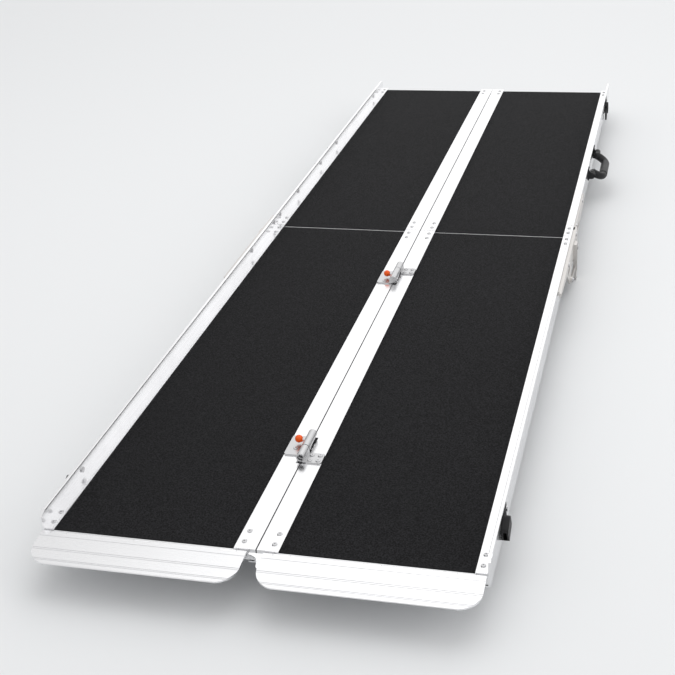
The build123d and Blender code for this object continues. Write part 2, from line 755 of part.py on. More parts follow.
def latch_spring(name):
    """Coil spring between the pin's collar and the closed end of the barrel."""
    latch_y, way = latches[name]
    wire = 0.6
    coil_radius = spring_bore - wire - 0.5
    start = collar_half + wire + 0.1
    length = barrel_back - end_wall - wire - 0.1 - start
    turns = 5
    origin = (0.0, latch_y + way * start, fold_z)
    with BuildPart() as piece:
        with BuildLine() as coil:
            pitch = length / turns
            Helix(pitch, length, coil_radius, center=origin, direction=(0, way, 0))
        with BuildSketch(Plane(origin=coil.line @ 0, z_dir=coil.line % 0)):
            Circle(wire)
        sweep(is_frenet=True)
    keep(piece, "left", f"latch_spring_{name}")


# ---------------------------------------------------------------- carry handle
def handle_brackets(side):
    """Two black end brackets that the handle swings in."""
    bracket_length = 17.0
    pivot_x = outer_x + handle_pivot_out
    with BuildPart() as piece:
        for way in (-1, 1):
            middle = seam_y + handle_station + way * handle_pitch / 2
            low_y, high_y = middle - bracket_length / 2, middle + bracket_length / 2
            box_between(outer_x, outer_x + 3.0, low_y, high_y, deck_z - 10.0, handle_bracket_top_z)
            box_between(outer_x, pivot_x, low_y, high_y, handle_pivot_z - 8.0, handle_pivot_z + 3.0)
            rod_along(pivot_x, handle_pivot_z, 8.0, low_y, high_y)
            inner_face = middle - way * bracket_length / 2
            socket = sorted((inner_face - way, inner_face + way * 10.0))
            rod_along(pivot_x, handle_pivot_z, trunnion + pin_clearance, *socket, Mode.SUBTRACT)
            drill_across([(middle, handle_screw_z)], screw_shank, outer_x - 1, outer_x + 14.0)
            recess = (outer_x + 3.0, outer_x + 14.0)
            rod_across(middle, handle_screw_z, screw_head + 0.5, *recess, Mode.SUBTRACT)
    keep(piece, side, f"handle_brackets_{side}")


def handle_grip(side):
    """Thick round grip bent into a D, hanging out from its two trunnions."""
    pivot_x = outer_x + handle_pivot_out
    droop = radians(handle_droop[side])
    middle = seam_y + handle_station
    half_span = handle_pitch / 2 - 17.0 / 2 - 1.0
    leg = half_span - 10.0
    out = handle_reach + 2.0
    grip_plane = Plane(
        origin=(pivot_x, middle, handle_pivot_z),
        x_dir=(0, 1, 0),
        z_dir=(sin(droop), 0, cos(droop)),
    )
    with BuildPart() as piece:
        with BuildLine(grip_plane) as route:
            FilletPolyline(
                (-leg, 2.0),
                (-leg, -out),
                (leg, -out),
                (leg, 2.0),
                radius=23.0,
            )
        with BuildSketch(Plane(origin=route.line @ 0, z_dir=route.line % 0)):
            Circle(grip_radius - 1.0)
        sweep()
        for way in (-1, 1):
            stub = sorted((middle + way * leg, middle + way * (half_span + 9.0)))
            rod_along(pivot_x, handle_pivot_z, trunnion, *stub)
            hub = sorted((middle + way * (half_span - 14.0), middle + way * (half_span + 0.6)))
            rod_along(pivot_x, handle_pivot_z, 7.5, *hub)
        with BuildLine(grip_plane) as sleeve:
            Line((-leg + 25.0, -out), (leg - 25.0, -out))
        with BuildSketch(Plane(origin=sleeve.line @ 0, z_dir=sleeve.line % 0)):
            Circle(grip_radius)
        sweep()
    keep(piece, side, f"handle_grip_{side}")


# ---------------------------------------------------------------- closing straps
def strap_place(section):
    """Middle of the screw that holds a strap, as (y, z)."""
    return (lower_strap_y if section == "lower" else upper_strap_y, strap_screw_z)


def strap_plane(section, out):
    """Sketch plane on a strap's face: local x runs down along the strap from its screw."""
    y, z = strap_place(section)
    slope = radians(strap_slope)
    return Plane(origin=(outer_x + out, y, z), x_dir=(0, -cos(slope), -sin(slope)), z_dir=(1, 0, 0))


def strap(section, side):
    """Short webbing strap screwed to the curb, sloping down to its half of the buckle."""
    start, end = strap_reach[section]
    with BuildPart() as piece:
        with BuildSketch(strap_plane(section, 0.0)):
            strip(start, end, -strap_width / 2, strap_width / 2)
        extrude(amount=strap_thickness)
        # The webbing is folded double where it goes round the buckle's bar.
        with BuildSketch(strap_plane(section, 0.0)):
            strip(end - 7.0, end, -strap_width / 2, strap_width / 2)
        extrude(amount=2 * strap_thickness)
        drill_across([strap_place(section)], screw_shank, outer_x - 1, outer_x + 6)
    keep(piece, side, f"strap_{section}_{side}")


def buckle(section, side):
    """Half of a side-release buckle: the hollow socket below, the pronged plug above."""
    start = strap_reach[section][1]
    with BuildPart() as piece:
        if section == "lower":
            width, depth, length = 32.0, 11.0, 31.0
            with BuildSketch(strap_plane(section, 0.5)):
                with Locations((start + length / 2, 0.0)):
                    RectangleRounded(length, width, 6.0)
            extrude(amount=depth)
            with BuildSketch(strap_plane(section, 3.0)):
                strip(start + 8.0, start + length + 1.0, -width / 2 + 4.0, width / 2 - 4.0)
            extrude(amount=depth - 5.0, mode=Mode.SUBTRACT)
        else:
            width, depth, length = 31.0, 9.0, 19.0
            with BuildSketch(strap_plane(section, 0.5)):
                with Locations((start + length / 2, 0.0)):
                    RectangleRounded(length, width, 4.0)
            extrude(amount=depth)
            with BuildSketch(strap_plane(section, 3.0)):
                for way in (-1, 1):
                    with BuildLine():
                        Polyline(
                            (start + length - 2.0, way * 11.0),
                            (start + length - 2.0, way * 7.0),
                            (start + length + 22.0, way * 7.0),
                            (start + length + 31.0, way * 9.0),
                            (start + length + 19.0, way * 14.5),
                            (start + length + 14.0, way * 11.0),
                            close=True,
                        )
                    make_face()
                strip(start + length - 2.0, start + length + 24.0, -2.5, 2.5)
            extrude(amount=4.5)
    keep(piece, side, f"buckle_{section}_{side}")


for side in sides:
    for section in sections:
        side_rail(section, side)
        inner_rail(section, side)
        deck_plate(section, side)
        grip_sheet(section, side)
        cross_tubes(section, side)
        rivets(section, side)
        strap(section, side)
        buckle(section, side)
    front_end_bar(side)
    lip(side)
    lip_hinge_rod(side)
    hinge_plates_lower(side)
    hinge_plates_upper(side)
    support_leg(side)
    pivot_bolts(side)
    handle_brackets(side)
    handle_grip(side)

for name in latches:
    latch_leaf_knuckle(name)
    latch_leaf_barrel(name)
    latch_pin_piece(name)
    latch_knob(name)
    latch_spring(name)
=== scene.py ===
"""Folding dog ramp: the looks of the object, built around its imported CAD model.

Laid out as an add-on and run as a script: each operator below makes one group of pieces,
paints the ramp's own parts or sets the stage. Sizes are in metres.
"""

import json
import math

import bpy
from mathutils import Matrix, Vector


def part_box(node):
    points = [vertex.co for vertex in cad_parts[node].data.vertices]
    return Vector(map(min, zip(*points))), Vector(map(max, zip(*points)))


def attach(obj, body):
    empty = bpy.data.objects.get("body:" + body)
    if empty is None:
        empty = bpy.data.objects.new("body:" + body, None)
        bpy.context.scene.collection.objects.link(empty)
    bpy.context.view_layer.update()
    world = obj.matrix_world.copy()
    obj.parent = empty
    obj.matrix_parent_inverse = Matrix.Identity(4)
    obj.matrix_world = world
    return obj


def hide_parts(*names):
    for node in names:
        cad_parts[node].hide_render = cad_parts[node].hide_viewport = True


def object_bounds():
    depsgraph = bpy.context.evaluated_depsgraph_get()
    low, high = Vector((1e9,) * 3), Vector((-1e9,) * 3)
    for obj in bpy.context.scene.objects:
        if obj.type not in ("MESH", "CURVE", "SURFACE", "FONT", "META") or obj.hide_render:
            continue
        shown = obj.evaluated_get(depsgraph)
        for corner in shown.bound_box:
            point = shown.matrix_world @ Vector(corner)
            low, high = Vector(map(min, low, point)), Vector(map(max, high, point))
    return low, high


bl_info = {
    "name": "Folding dog ramp",
    "version": (1, 0, 0),
    "blender": (4, 5, 0),
    "location": "3D View > Sidebar > Dog ramp",
    "description": "Finishes, straps, latch knobs and rivet stems for a folding dog ramp",
    "category": "Add Mesh",
}

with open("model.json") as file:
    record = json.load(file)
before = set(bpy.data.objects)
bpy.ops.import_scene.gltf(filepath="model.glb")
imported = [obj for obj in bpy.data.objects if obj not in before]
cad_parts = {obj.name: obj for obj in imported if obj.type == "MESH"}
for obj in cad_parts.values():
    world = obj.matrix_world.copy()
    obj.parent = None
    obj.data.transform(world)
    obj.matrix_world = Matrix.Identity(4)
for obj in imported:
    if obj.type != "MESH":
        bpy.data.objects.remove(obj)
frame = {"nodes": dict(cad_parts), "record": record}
cad_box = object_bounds()

SIDES = ("right", "left")
SECTIONS = ("lower", "upper")
LATCHES = ("near", "far")
MM = 0.001

DECK_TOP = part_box("inner_rail_lower_right")[1].z
SEAM_Y = (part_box("inner_rail_lower_right")[1].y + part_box("inner_rail_upper_right")[0].y) / 2
COLOURS = {m["slot"]: tuple(m["base_color"]) for m in frame["record"]["materials"]}
NODE_SLOT = {part["node"]: part["material_slot"] for part in frame["record"]["subparts"]}


# ---------------------------------------------------------------- properties
def colour(name, description, slot):
    """A colour property whose default is the record's colour for a material slot."""
    return bpy.props.FloatVectorProperty(
        name=name,
        description=description,
        subtype="COLOR",
        size=3,
        min=0,
        max=1,
        default=COLOURS[slot],
    )


def length(name, description, value):
    """A length property in metres, given in millimetres."""
    return bpy.props.FloatProperty(
        name=name,
        description=description,
        default=value * MM,
        subtype="DISTANCE",
        unit="LENGTH",
        precision=5,
    )


def turn(name, description, degrees):
    """An angle property, given in degrees."""
    return bpy.props.FloatProperty(
        name=name,
        description=description,
        default=math.radians(degrees),
        subtype="ANGLE",
        unit="ROTATION",
    )


def factor(name, description, value):
    """A plain number from nought to one."""
    return bpy.props.FloatProperty(
        name=name,
        description=description,
        default=value,
        min=0,
        max=1,
        subtype="FACTOR",
    )


def amount(name, description, value, unit="NONE"):
    """A plain number from nought upwards."""
    return bpy.props.FloatProperty(name=name, description=description, default=value, min=0, unit=unit)


class RampFinish(bpy.types.PropertyGroup):
    """Colours and surface strengths of the ramp's materials."""

    aluminium: colour("Aluminium", "Rails, plates, tubes and lips", "aluminium")
    grip: colour("Grip", "Non-slip sheet on the deck", "grip_surface")
    steel: colour("Steel", "Rivets, screws, pins and springs", "steel")
    hinge: colour("Hinge metal", "Hinge plates and legs", "hinge_metal")
    latch: colour("Latch metal", "Knuckles and barrels of the centre latches", "latch_metal")
    knob: colour("Knob", "Pull knobs of the centre latches", "orange_knob")
    plastic: colour("Plastic", "Buckles and handle brackets", "black_plastic")
    rubber: colour("Rubber", "Carry handles", "handle_rubber")
    webbing: colour("Webbing", "Closing straps", "webbing")
    grain: factor("Grain", "How strongly the drawn metal's lengthwise lines show", 0.1)
    grit: factor("Grit", "How rough the non-slip sheet looks", 0.7)


class RampPieces(bpy.types.PropertyGroup):
    """Sizes of the modelled pieces."""

    knob_radius: length("Knob radius", "Widest radius of a latch knob", 6.8)
    knob_length: length("Knob length", "From the stem's end to the knob's tip", 14.5)
    knob_neck: length("Knob neck", "Radius of the knob where it meets the stem", 3.1)
    stem_tilt: turn("Stem tilt", "Rise of the stem's outer end", 25)
    mandrel_radius: length("Rivet stem", "Radius of the broken stem in a rivet head", 1.15)
    strap_slope: turn("Strap slope", "How far a closing strap slopes below level", 28)
    strap_thickness: length("Webbing thickness", "Thickness of one layer of webbing", 1.5)
    bolt_hex: length("Bolt hexagon", "Radius to the corners of a bolt's hexagon", 4.1)
    bolt_rise: length("Bolt rise", "Height of the hexagon above its flange", 1.6)


class RampStage(bpy.types.PropertyGroup):
    """Camera, lights and floor."""

    camera_x: length("Camera across", "Camera's distance to the right of the centre seam", 584.1)
    camera_y: length("Camera back", "Camera's distance down the ramp from the cross seam", 2798.7)
    camera_z: length("Camera height", "Camera's height above the deck's top", 1148.9)
    heading: turn("Heading", "Turn of the camera to the left of straight up the ramp", 15.99)
    pitch: turn("Pitch", "Tilt of the camera below level", 26.37)
    roll: turn("Roll", "Turn of the camera about its own line of sight", 3.777)
    lens: amount("Lens", "Focal length in millimetres", 70.13)
    sky: amount("Sky", "Brightness of the surroundings", 0.84)
    key: amount("Key light", "Power of the overhead light", 24.0, "POWER")
    back: amount("Back light", "Power of the light beyond the top end", 45.0, "POWER")
    fill: amount("Fill light", "Power of the side light", 12.0, "POWER")


# ---------------------------------------------------------------- shader node groups
def new_group(name, inputs, outputs):
    """A shader node group with float inputs, given as names and defaults, and named outputs."""
    group = bpy.data.node_groups.new(name, "ShaderNodeTree")
    for socket, value in inputs:
        item = group.interface.new_socket(socket, in_out="INPUT", socket_type="NodeSocketFloat")
        item.default_value = value
    for socket, kind in outputs:
        group.interface.new_socket(socket, in_out="OUTPUT", socket_type=kind)
    start = group.nodes.new("NodeGroupInput")
    end = group.nodes.new("NodeGroupOutput")
    return group, start, end


def add(tree, kind, **settings):
    """A node with its settings."""
    node = tree.nodes.new(kind)
    for name, value in settings.items():
        setattr(node, name, value)
    return node


def math_node(tree, operation, first, second):
    """A math node fed by sockets or numbers."""
    node = add(tree, "ShaderNodeMath", operation=operation)
    for socket, value in zip(node.inputs, (first, second)):
        if isinstance(value, (int, float)):
            socket.default_value = value
        else:
            tree.links.new(value, socket)
    return node.outputs["Value"]


def drawn_grain_group():
    """Fine lines along the axis with the lowest frequency, as rolling and drawing leave them."""
    group, start, end = new_group(
        "drawn_grain",
        (("X", 900.0), ("Y", 8.0), ("Z", 900.0), ("Depth", 0.2)),
        (("Line", "NodeSocketFloat"), ("Normal", "NodeSocketVector")),
    )
    place = add(group, "ShaderNodeTexCoord")
    split = add(group, "ShaderNodeSeparateXYZ")
    merge = add(group, "ShaderNodeCombineXYZ")
    noise = add(group, "ShaderNodeTexNoise")
    bump = add(group, "ShaderNodeBump")
    noise.inputs["Scale"].default_value = 1.0
    noise.inputs["Detail"].default_value = 3.0
    bump.inputs["Distance"].default_value = 0.0002
    group.links.new(place.outputs["Object"], split.inputs[0])
    for axis in "XYZ":
        spread = math_node(group, "MULTIPLY", split.outputs[axis], start.outputs[axis])
        group.links.new(spread, merge.inputs[axis])
    group.links.new(merge.outputs[0], noise.inputs["Vector"])
    group.links.new(noise.outputs["Fac"], bump.inputs["Height"])
    group.links.new(start.outputs["Depth"], bump.inputs["Strength"])
    group.links.new(noise.outputs["Fac"], end.inputs["Line"])
    group.links.new(bump.outputs["Normal"], end.inputs["Normal"])
    return group


def handling_group():
    """Soft patches of handling and dust, for roughness and a little colour."""
    group, start, end = new_group(
        "handling",
        (("Size", 9.0), ("Contrast", 0.5)),
        (("Patch", "NodeSocketFloat"),),
    )
    place = add(group, "ShaderNodeTexCoord")
    noise = add(group, "ShaderNodeTexNoise")
    noise.inputs["Detail"].default_value = 4.0
    noise.inputs["Roughness"].default_value = 0.6
    group.links.new(place.outputs["Object"], noise.inputs["Vector"])
    group.links.new(start.outputs["Size"], noise.inputs["Scale"])
    centred = math_node(group, "SUBTRACT", noise.outputs["Fac"], 0.5)
    scaled = math_node(group, "MULTIPLY", centred, start.outputs["Contrast"])
    group.links.new(math_node(group, "ADD", scaled, 0.5), end.inputs["Patch"])
    return group


def grit_group():
    """Sharp grains: a speckle value and the bumps that go with it."""
    group, start, end = new_group(
        "grit",
        (("Grains", 1400.0), ("Depth", 0.6)),
        (("Speck", "NodeSocketFloat"), ("Normal", "NodeSocketVector")),
    )
    place = add(group, "ShaderNodeTexCoord")
    cells = add(group, "ShaderNodeTexVoronoi")
    noise = add(group, "ShaderNodeTexNoise")
    bump = add(group, "ShaderNodeBump")
    noise.inputs["Detail"].default_value = 5.0
    bump.inputs["Distance"].default_value = 0.0006
    for texture in (cells, noise):
        group.links.new(place.outputs["Object"], texture.inputs["Vector"])
    group.links.new(start.outputs["Grains"], cells.inputs["Scale"])
    coarse = math_node(group, "MULTIPLY", start.outputs["Grains"], 0.28)
    group.links.new(coarse, noise.inputs["Scale"])
    height = math_node(group, "MULTIPLY", cells.outputs["Distance"], noise.outputs["Fac"])
    group.links.new(height, bump.inputs["Height"])
    group.links.new(start.outputs["Depth"], bump.inputs["Strength"])
    group.links.new(noise.outputs["Fac"], end.inputs["Speck"])
    group.links.new(bump.outputs["Normal"], end.inputs["Normal"])
    return group


def weave_group():
    """Crossing ribs of woven webbing, read from the piece's own UV map."""
    group, start, end = new_group(
        "weave",
        (("Ribs", 16.0), ("Picks", 40.0)),
        (("Rib", "NodeSocketFloat"), ("Normal", "NodeSocketVector")),
    )
    place = add(group, "ShaderNodeTexCoord")
    split = add(group, "ShaderNodeSeparateXYZ")
    bump = add(group, "ShaderNodeBump")
    bump.inputs["Strength"].default_value = 0.7
    bump.inputs["Distance"].default_value = 0.0004
    group.links.new(place.outputs["UV"], split.inputs[0])
    waves = []
    for axis, count in (("X", "Ribs"), ("Y", "Picks")):
        angle = math_node(group, "MULTIPLY", split.outputs[axis], start.outputs[count])
        full = math_node(group, "MULTIPLY", angle, math.tau)
        waves.append(math_node(group, "SINE", full, 0.0))
    crossed = math_node(group, "MULTIPLY", waves[0], waves[1])
    level = math_node(group, "MULTIPLY_ADD", crossed, 0.5)
    group.links.new(level, bump.inputs["Height"])
    group.links.new(level, end.inputs["Rib"])
    group.links.new(bump.outputs["Normal"], end.inputs["Normal"])
    return group


GROUPS = {}
GROUP_MAKERS = {
    "drawn_grain": drawn_grain_group,
    "handling": handling_group,
    "grit": grit_group,
    "weave": weave_group,
}


def place_group(tree, name, **values):
    """A shared group placed in a material with its own values."""
    if name not in GROUPS:
        GROUPS[name] = GROUP_MAKERS[name]()
    node = add(tree, "ShaderNodeGroup", node_tree=GROUPS[name])
    for socket, value in values.items():
        node.inputs[socket].default_value = value
    return node


# ---------------------------------------------------------------- materials
def new_material(name):
    """A material with its node tree and its Principled shader."""
    material = bpy.data.materials.new(name)
    material.use_nodes = True
    tree = material.node_tree
    return material, tree, tree.nodes["Principled BSDF"]


def ramp(tree, source, low, high, start=0.3, end=0.7):
    """Map a value onto a range, as a socket."""
    node = add(tree, "ShaderNodeMapRange")
    for socket, value in (("From Min", start), ("From Max", end), ("To Min", low), ("To Max", high)):
        node.inputs[socket].default_value = value
    tree.links.new(source, node.inputs["Value"])
    return node.outputs["Result"]


def tint(tree, source, dark, light):
    """Mix two colours by a value."""
    node = add(tree, "ShaderNodeMix", data_type="RGBA")
    node.inputs["A"].default_value = (*dark, 1)
    node.inputs["B"].default_value = (*light, 1)
    tree.links.new(source, node.inputs["Factor"])
    return node.outputs["Result"]


def shade(base, amount):
    """A colour made darker or lighter by a factor."""
    return tuple(min(1.0, channel * amount) for channel in base)


ALONG_RAMP = (700.0, 5.0, 700.0)
ACROSS_RAMP = (5.0, 700.0, 700.0)
ALL_WAYS = (900.0, 900.0, 900.0)


def drawn_metal(name, base, frequencies, roughness, metallic, depth):
    """Satin metal with lengthwise lines, soft patches of handling and a varied gloss."""
    material, tree, shader = new_material(name)
    grain = place_group(tree, "drawn_grain", **dict(zip("XYZ", frequencies)), Depth=depth)
    patch = place_group(tree, "handling", Size=7.0, Contrast=0.8)
    blend = math_node(tree, "MULTIPLY", grain.outputs["Line"], patch.outputs["Patch"])
    paler = ramp(tree, blend, 0.0, 1.0, 0.12, 0.4)
    gloss = ramp(tree, blend, roughness + 0.06, roughness - 0.04, 0.1, 0.4)
    tree.links.new(tint(tree, paler, shade(base, 0.94), base), shader.inputs["Base Color"])
    tree.links.new(gloss, shader.inputs["Roughness"])
    tree.links.new(grain.outputs["Normal"], shader.inputs["Normal"])
    shader.inputs["Metallic"].default_value = metallic
    return material


def grip_material(finish):
    """Black gritty sheet with paler grains and faint scuffs."""
    material, tree, shader = new_material("black_grip")
    grit = place_group(tree, "grit", Grains=1600.0, Depth=finish.grit)
    patch = place_group(tree, "handling", Size=3.0, Contrast=1.0)
    specks = ramp(tree, grit.outputs["Speck"], 0.0, 1.0, 0.38, 0.66)
    scuffed = math_node(tree, "MULTIPLY", specks, ramp(tree, patch.outputs["Patch"], 0.75, 1.0))
    base = tuple(finish.grip)
    colours = tint(tree, scuffed, shade(base, 0.12), shade(base, 0.55))
    tree.links.new(colours, shader.inputs["Base Color"])
    tree.links.new(ramp(tree, grit.outputs["Speck"], 0.95, 0.72), shader.inputs["Roughness"])
    tree.links.new(grit.outputs["Normal"], shader.inputs["Normal"])
    shader.inputs["Specular IOR Level"].default_value = 0.16
    return material


def moulded_material(name, base, roughness, grains, depth, coat):
    """Moulded plastic or rubber with a fine surface texture."""
    material, tree, shader = new_material(name)
    grit = place_group(tree, "grit", Grains=grains, Depth=depth)
    patch = place_group(tree, "handling", Size=25.0, Contrast=0.7)
    colours = tint(tree, patch.outputs["Patch"], shade(base, 0.85), shade(base, 1.15))
    gloss = ramp(tree, patch.outputs["Patch"], roughness + 0.08, roughness - 0.05)
    tree.links.new(colours, shader.inputs["Base Color"])
    tree.links.new(gloss, shader.inputs["Roughness"])
    tree.links.new(grit.outputs["Normal"], shader.inputs["Normal"])
    shader.inputs["Specular IOR Level"].default_value = 0.3
    shader.inputs["Coat Weight"].default_value = coat
    shader.inputs["Coat Roughness"].default_value = 0.08
    return material


def webbing_material(finish):
    """Black nylon webbing with raised ribs, lightened on the rib tops as painted highlight and darkened
    between them as painted shade.
    """
    material, tree, shader = new_material("black_webbing")
    weave = place_group(tree, "weave", Ribs=14.0, Picks=36.0)
    base = tuple(finish.webbing)
    # colour follows the rib height: painted shade in the hollows, painted highlight on the rib tops
    colours = tint(tree, weave.outputs["Rib"], shade(base, 0.5), shade(base, 1.6))
    tree.links.new(colours, shader.inputs["Base Color"])
    tree.links.new(ramp(tree, weave.outputs["Rib"], 0.9, 0.7, 0.0, 1.0), shader.inputs["Roughness"])
    tree.links.new(weave.outputs["Normal"], shader.inputs["Normal"])
    shader.inputs["Sheen Weight"].default_value = 0.3
    return material


def make_materials(finish):
    """Every finish of the ramp, by name."""
    metal, steel, latch = tuple(finish.aluminium), tuple(finish.steel), tuple(finish.latch)
    metals = (
        ("drawn_rail", shade(metal, 1.06), ALONG_RAMP, 0.22, 1.0),
        ("rolled_plate", shade(metal, 0.95), ALONG_RAMP, 0.42, 0.9),
        ("mill_tube", shade(metal, 0.92), ACROSS_RAMP, 0.4, 0.9),
        ("lip_plate", shade(metal, 1.02), ACROSS_RAMP, 0.26, 1.0),
        ("bright_steel", steel, ALL_WAYS, 0.3, 1.0),
        # rivet stems: steel darkened to 0.28 as painted shade for the hole in each rivet head
        ("stem_steel", shade(steel, 0.28), ALL_WAYS, 0.55, 1.0),
        ("hinge_plate", tuple(finish.hinge), ALONG_RAMP, 0.38, 0.95),
        ("latch_plate", shade(latch, 0.85), ALL_WAYS, 0.3, 1.0),
    )
    knob, plastic, rubber = tuple(finish.knob), tuple(finish.plastic), tuple(finish.rubber)
    moulded = (
        ("glossy_knob", shade(knob, 0.9), 0.38, 2500.0, 0.02, 0.15),
        ("black_plastic", shade(plastic, 0.5), 0.5, 2600.0, 0.25, 0.0),
        ("soft_rubber", shade(rubber, 0.25), 0.42, 1800.0, 0.12, 0.0),
    )
    materials = {row[0]: drawn_metal(*row, finish.grain) for row in metals}
    materials.update({row[0]: moulded_material(*row) for row in moulded})
    materials["black_grip"] = grip_material(finish)
    materials["black_webbing"] = webbing_material(finish)
    return materials


SLOT_FINISH = {
    "aluminium": "drawn_rail",
    "grip_surface": "black_grip",
    "steel": "bright_steel",
    "hinge_metal": "hinge_plate",
    "latch_metal": "latch_plate",
    "orange_knob": "glossy_knob",
    "black_plastic": "black_plastic",
    "handle_rubber": "soft_rubber",
    "webbing": "black_webbing",
}
NODE_FINISH = (
    ("deck_plate", "rolled_plate"),
    ("cross_tubes", "mill_tube"),
    ("lip_right", "lip_plate"),
    ("lip_left", "lip_plate"),
)


def finish_named(name):
    """A material that the paint operator made."""
    return bpy.data.materials[name]


# ---------------------------------------------------------------- modelling helpers
def start_at(point, name):
    """Start a piece as one loose vertex, in edit mode."""
    bpy.ops.object.select_all(action="DESELECT")
    bpy.ops.mesh.primitive_plane_add(size=MM, location=(0, 0, 0))
    piece = bpy.context.object
    piece.name = name
    bpy.ops.object.mode_set(mode="EDIT")
    bpy.ops.mesh.merge(type="CENTER")
    bpy.ops.transform.translate(value=point)
    return piece


def draw(points):
    """Extrude the selection from point to point, starting at the first."""
    for here, there in zip(points, points[1:]):
        step = Vector(there) - Vector(here)
        bpy.ops.mesh.extrude_region_move(TRANSFORM_OT_translate={"value": step})


def lathe(name, profile, centre, axis, sideways, steps):
    """Turn a profile of (radius, along) points about an axis through centre."""
    axis, sideways, centre = Vector(axis).normalized(), Vector(sideways).normalized(), Vector(centre)
    points = [centre + axis * along + sideways * radius for radius, along in profile]
    piece = start_at(points[0], name)
    draw(points)
    bpy.ops.mesh.select_all(action="SELECT")
    bpy.ops.mesh.spin(steps=steps, angle=math.tau, center=centre, axis=axis)
    bpy.ops.mesh.select_all(action="SELECT")
    bpy.ops.mesh.remove_doubles(threshold=0.00002)
    bpy.ops.mesh.normals_make_consistent(inside=False)
    bpy.ops.object.mode_set(mode="OBJECT")
    return piece


def joined(pieces, name):
    """Several objects joined into one piece."""
    bpy.ops.object.select_all(action="DESELECT")
    for piece in pieces:
        piece.select_set(True)
    bpy.context.view_layer.objects.active = pieces[0]
    if len(pieces) > 1:
        bpy.ops.object.join()
    pieces[0].name = name
    return pieces[0]


def copy_at(piece, step):
    """A copy of a piece with its own mesh, moved by step and placed in its mesh."""
    bpy.ops.object.select_all(action="DESELECT")
    piece.select_set(True)
    bpy.context.view_layer.objects.active = piece
    bpy.ops.object.duplicate(linked=False)
    twin = bpy.context.object
    bpy.ops.transform.translate(value=step)
    bpy.ops.object.transform_apply(location=True, rotation=True, scale=True)
    return twin


def hand_over(piece, body, finish, sharp=40.0):
    """Finish a piece: place in its mesh, smooth shading, material and body."""
    bpy.ops.object.select_all(action="DESELECT")
    piece.select_set(True)
    bpy.context.view_layer.objects.active = piece
    bpy.ops.object.transform_apply(location=True, rotation=True, scale=True)
    bpy.ops.object.shade_smooth_by_angle(angle=math.radians(sharp))
    piece.data.materials.clear()
    piece.data.materials.append(finish_named(finish))
    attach(piece, body)


def circles_at(node, axis, level, reach):
    """Centres of the round faces of a CAD node that lie at one level of an axis."""
    near = [v.co for v in frame["nodes"][node].data.vertices if abs(v.co[axis] - level) < 0.05 * MM]
    groups = []
    for co in near:
        home = next((g for g in groups if (g[0] - co).length < reach), None)
        if home is None:
            groups.append([co.copy()])
        else:
            home.append(co.copy())
    centres = []
    for group in groups:
        low = Vector(min(co[i] for co in group) for i in range(3))
        high = Vector(max(co[i] for co in group) for i in range(3))
        centres.append((low + high) / 2)
    return centres


def body_of(node):
    """The body that carries a CAD node."""
    bodies = frame["record"]["behaviour"]["bodies"]
    return next(name for name, members in bodies.items() if node in members)


# ---------------------------------------------------------------- operators
class RAMP_OT_paint(bpy.types.Operator):
    """Give every part of the ramp its finish"""

    bl_idname = "dog_ramp.paint"
    bl_label = "Paint the ramp"

    def execute(self, context):
        materials = make_materials(context.scene.ramp_finish)
        for name, node in frame["nodes"].items():
            special = [finish for start, finish in NODE_FINISH if name.startswith(start)]
            finish = special[0] if special else SLOT_FINISH[NODE_SLOT[name]]
            node.data.materials.clear()
            node.data.materials.append(materials[finish])
        return {"FINISHED"}


class RAMP_OT_rivet_stems(bpy.types.Operator):
    """Add the broken stem inside the head of every deck rivet, darkened as painted shade for the rivet's
    hole
    """

    bl_idname = "dog_ramp.rivet_stems"
    bl_label = "Rivet stems"

    def execute(self, context):
        radius = context.scene.ramp_pieces.mandrel_radius
        dome = ((0, 0.55 * MM), (0.55 * radius, 0.45 * MM), (0.9 * radius, 0.2 * MM))
        profile = (*dome, (radius, 0), (radius, -0.3 * MM))
        for section in SECTIONS:
            for side in SIDES:
                node = f"rivets_{section}_{side}"
                floors = circles_at(node, 2, DECK_TOP + 0.7 * MM, 6 * MM)
                floors += circles_at(node, 2, DECK_TOP + 3.2 * MM, 6 * MM)
                first = lathe("stem", profile, floors[0], (0, 0, 1), (1, 0, 0), 14)
                stems = [first] + [copy_at(first, place - floors[0]) for place in floors[1:]]
                piece = joined(stems, f"rivet_stems_{section}_{side}")
                # the stems take the darkened steel, painted shade for the rivet's hole
                hand_over(piece, body_of(node), "stem_steel")
        return {"FINISHED"}


class RAMP_OT_bolt_hexes(bpy.types.Operator):
    """Add the hexagon on the flanged bolts that hold the legs and the cross hinges"""

    bl_idname = "dog_ramp.bolt_hexes"
    bl_label = "Bolt hexagons"

    def execute(self, context):
        sizes = context.scene.ramp_pieces
        rise, corner = sizes.bolt_rise, sizes.bolt_hex
        for side in SIDES:
            node = f"hinge_bolts_{side}"
            low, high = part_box(node)
            out = 1 if side == "right" else -1
            face = high.x if side == "right" else low.x
            profile = ((0, rise), (0.82 * corner, rise), (corner, 0.75 * rise), (corner, 0))
            axis = (out, 0, 0)
            centres = circles_at(node, 0, face, 12 * MM)
            first = lathe("hexagon", profile, centres[0], axis, (0, 0, 1), 6)
            hexes = [first] + [copy_at(first, place - centres[0]) for place in centres[1:]]
            piece = joined(hexes, f"bolt_hexes_{side}")
            hand_over(piece, body_of(node), "bright_steel", sharp=25.0)
        return {"FINISHED"}


